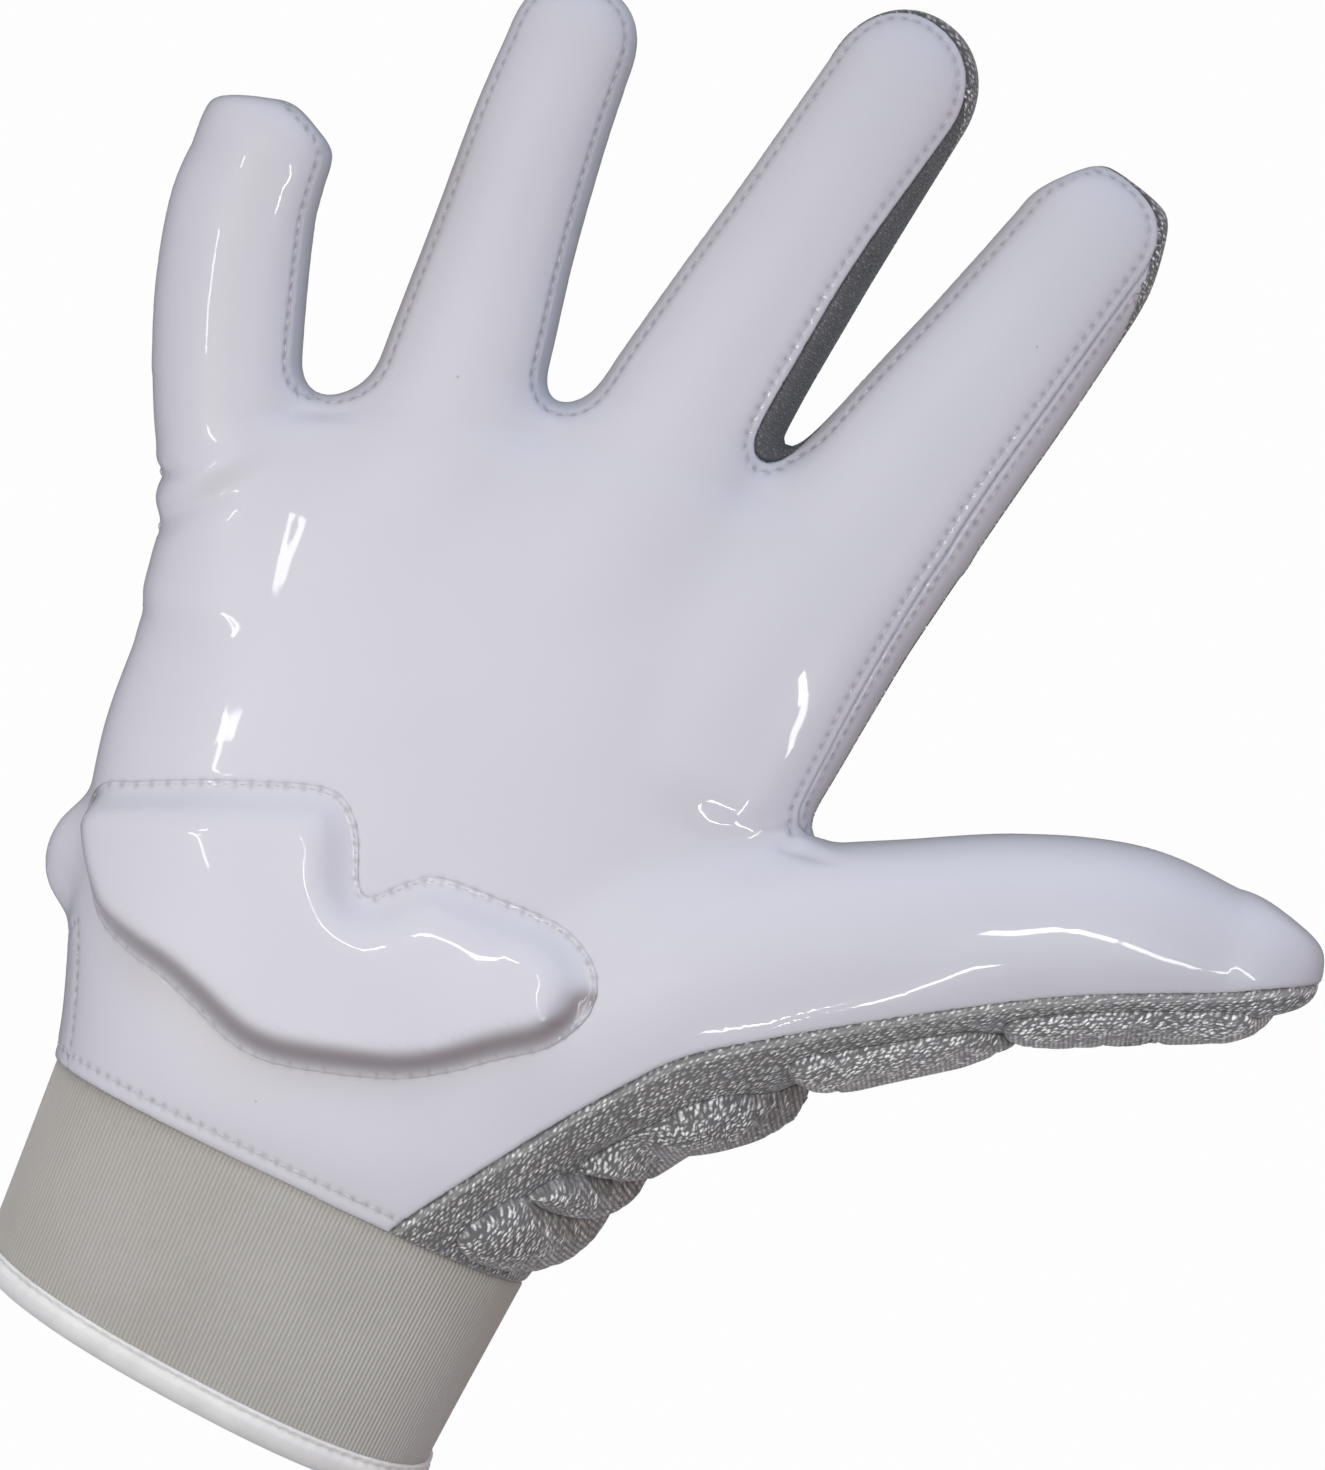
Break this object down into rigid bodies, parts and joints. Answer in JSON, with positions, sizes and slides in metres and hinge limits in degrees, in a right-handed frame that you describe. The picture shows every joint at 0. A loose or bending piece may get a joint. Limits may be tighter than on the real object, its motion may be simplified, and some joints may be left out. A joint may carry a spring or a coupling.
{
  "type": "football lineman glove",
  "caption": "Right-hand lineman's football glove held in the form of a spread hand, with a coated palm, a stitched heel pad, a knit back, puffed pads beside the thumb and a ribbed cuff",
  "frame": {"origin": "centre of the wrist opening, at the lower edge of the cuff", "axes": "+Z from the wrist to the fingertips, palm facing -Y, thumb towards +X"},
  "size_m": [0.1998, 0.0508, 0.2279],
  "materials": {
    "palm_leather": "glossy coated leather, smooth",
    "silver_knit": "silver warp knit with a fine sparkle",
    "strip_knit": "grey stretch knit",
    "rib_knit": "matt elastic rib knit",
    "binding_tape": "white tape, slight sheen"
  },
  "bodies": {
    "root": {"palm_panel": "palm_leather", "heel_pad": "palm_leather", "index_side_panel": "palm_leather", "back_panel": "silver_knit", "fourchette_little_ring": "strip_knit", "fourchette_ring_middle": "strip_knit", "fourchette_middle_index": "strip_knit", "thumb_pad_1": "silver_knit", "thumb_pad_2": "silver_knit", "thumb_pad_3": "silver_knit", "thumb_pad_4": "silver_knit", "thumb_pad_5": "silver_knit", "cuff": "rib_knit", "cuff_binding": "binding_tape"}
  },
  "joints": []
}
